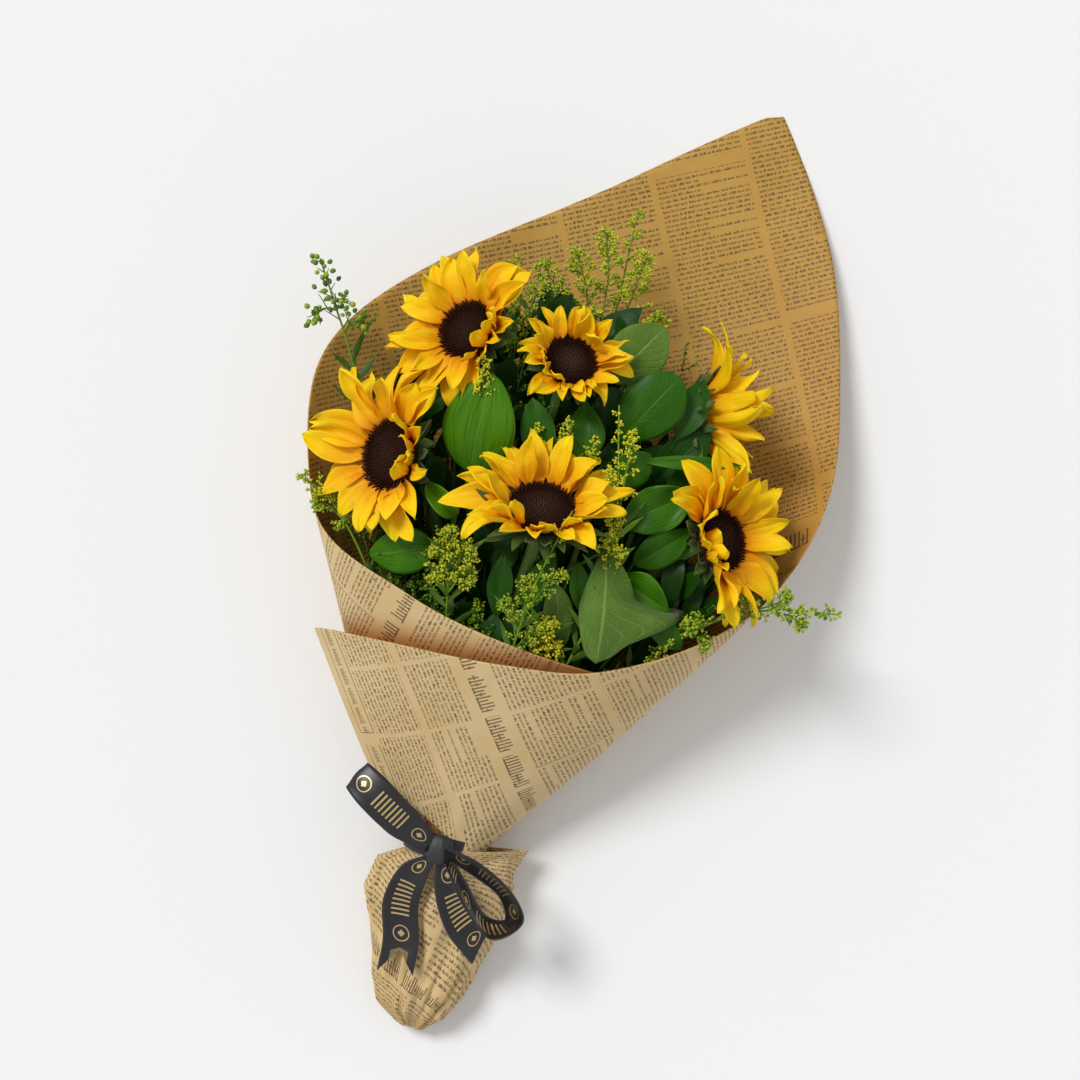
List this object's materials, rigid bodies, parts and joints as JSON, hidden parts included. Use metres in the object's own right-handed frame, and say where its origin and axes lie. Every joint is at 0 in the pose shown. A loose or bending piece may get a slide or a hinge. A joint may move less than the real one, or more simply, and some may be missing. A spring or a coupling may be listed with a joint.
{
  "type": "bunch of sunflowers in a paper cone",
  "caption": "Hand-tied bunch of sunflowers with filler leaves and goldenrod, lying on its back in a rolled cone of printed kraft paper that a satin ribbon ties at the waist.",
  "frame": {"origin": "middle of the bounding box's underside, on the surface that the bunch lies on", "axes": "+Y runs from the cut ends of the stems to the flower end and the paper's tall corner, +Z is up from the surface, and +X is to the right of the ribbon's knot as seen from above with +Y up"},
  "size_m": [0.4073, 0.7, 0.174],
  "materials": {
    "petal": "soft, thin, lengthwise veined",
    "disc": "matt, dense florets",
    "bract": "matt, finely hairy",
    "stem": "matt green",
    "glossy_leaf": "glossy, veined",
    "dull_leaf": "matt, pale veined",
    "goldenrod": "matt, budded",
    "kraft": "matt kraft paper with a plain printed pattern",
    "satin": "black satin",
    "twine": "matt twine"
  },
  "bodies": {
    "root": {"sunflower_1_disc": "disc", "sunflower_1_petals": "petal", "sunflower_1_bracts": "bract", "sunflower_1_stem": "stem", "sunflower_2_disc": "disc", "sunflower_2_petals": "petal", "sunflower_2_bracts": "bract", "sunflower_2_stem": "stem", "sunflower_3_disc": "disc", "sunflower_3_petals": "petal", "sunflower_3_bracts": "bract", "sunflower_3_stem": "stem", "sunflower_4_disc": "disc", "sunflower_4_petals": "petal", "sunflower_4_bracts": "bract", "sunflower_4_stem": "stem", "sunflower_5_disc": "disc", "sunflower_5_petals": "petal", "sunflower_5_bracts": "bract", "sunflower_5_stem": "stem", "sunflower_6_disc": "disc", "sunflower_6_petals": "petal", "sunflower_6_bracts": "bract", "sunflower_6_stem": "stem", "twig_left": "stem", "twig_middle": "stem", "twig_right": "stem", "leaf_upright": "glossy_leaf", "leaf_low_left": "glossy_leaf", "leaf_curled": "glossy_leaf", "leaf_pointed": "glossy_leaf", "leaf_centre": "glossy_leaf", "leaf_round": "glossy_leaf", "leaf_behind": "glossy_leaf", "leaf_wavy": "glossy_leaf", "leaf_side": "glossy_leaf", "leaf_low_right": "glossy_leaf", "sunflower_2_leaf": "dull_leaf", "sunflower_4_leaf": "dull_leaf", "sunflower_5_leaf": "dull_leaf", "goldenrod_outer_left": "goldenrod", "goldenrod_left_edge": "goldenrod", "goldenrod_top": "goldenrod", "goldenrod_top_left": "goldenrod", "goldenrod_inner": "goldenrod", "goldenrod_front_left": "goldenrod", "goldenrod_front": "goldenrod", "goldenrod_rim": "goldenrod", "goldenrod_right": "goldenrod", "goldenrod_deep": "goldenrod", "stem_twine": "twine", "paper_wrap": "kraft", "paper_foot": "kraft", "ribbon_band": "satin", "ribbon_knot": "satin", "ribbon_loop_left": "satin", "ribbon_loop_right": "satin", "ribbon_tail_left": "satin", "ribbon_tail_right": "satin"}
  },
  "joints": []
}
